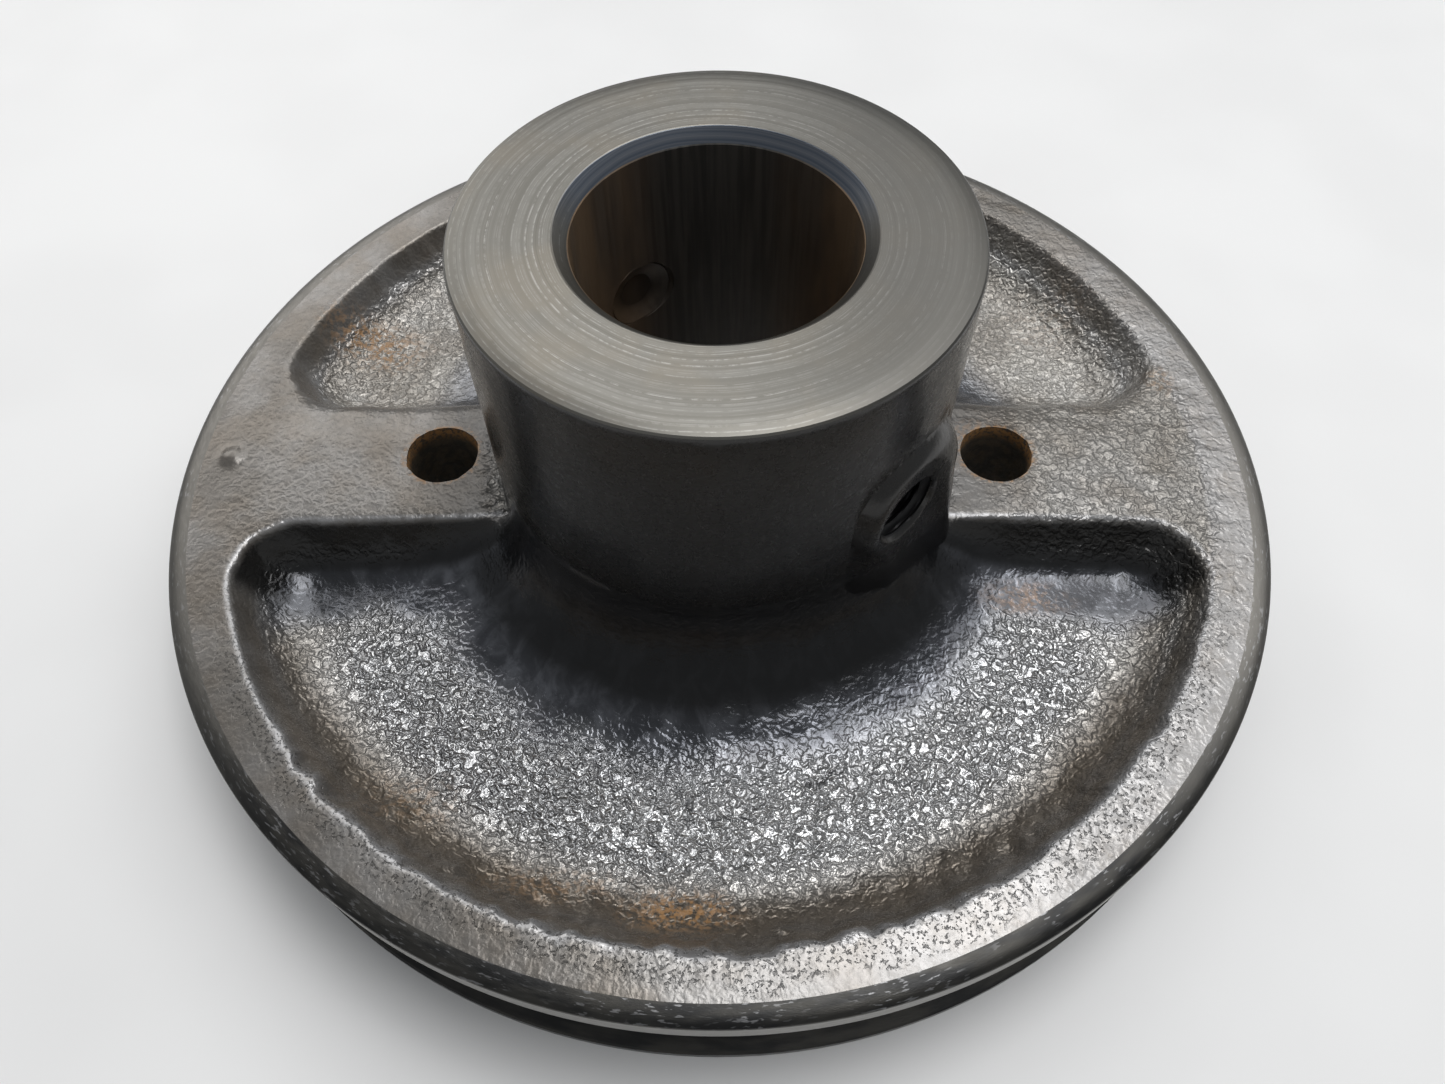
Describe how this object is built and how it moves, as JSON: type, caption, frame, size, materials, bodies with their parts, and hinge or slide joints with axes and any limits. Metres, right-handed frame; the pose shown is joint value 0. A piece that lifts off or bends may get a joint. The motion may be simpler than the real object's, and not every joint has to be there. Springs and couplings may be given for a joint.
{
  "type": "v belt pulley",
  "caption": "Cast iron V belt pulley with a long plain-bored hub, two scooped web pockets, two web holes and a set screw in a pad on the hub.",
  "frame": {"origin": "on the bore's axis, at the underside face that the pulley rests on", "axes": "+Z along the bore's axis towards the hub's nose, +X through the centre of one web hole"},
  "size_m": [0.1588, 0.1588, 0.0615],
  "materials": {
    "cast_iron": "oily as-cast iron, with the hub's end, bore and rim edge turned bright",
    "screw_steel": "black oxide, worn"
  },
  "bodies": {
    "pulley": {"pulley_casting": "cast_iron"},
    "set_screw": {"set_screw": "screw_steel"}
  },
  "joints": [
    {"name": "set_screw_feed", "type": "slide", "parent": "pulley", "child": "set_screw", "axis": [0.7071, -0.7071, 0], "range_m": [-0.00317, 0.00476]}
  ]
}
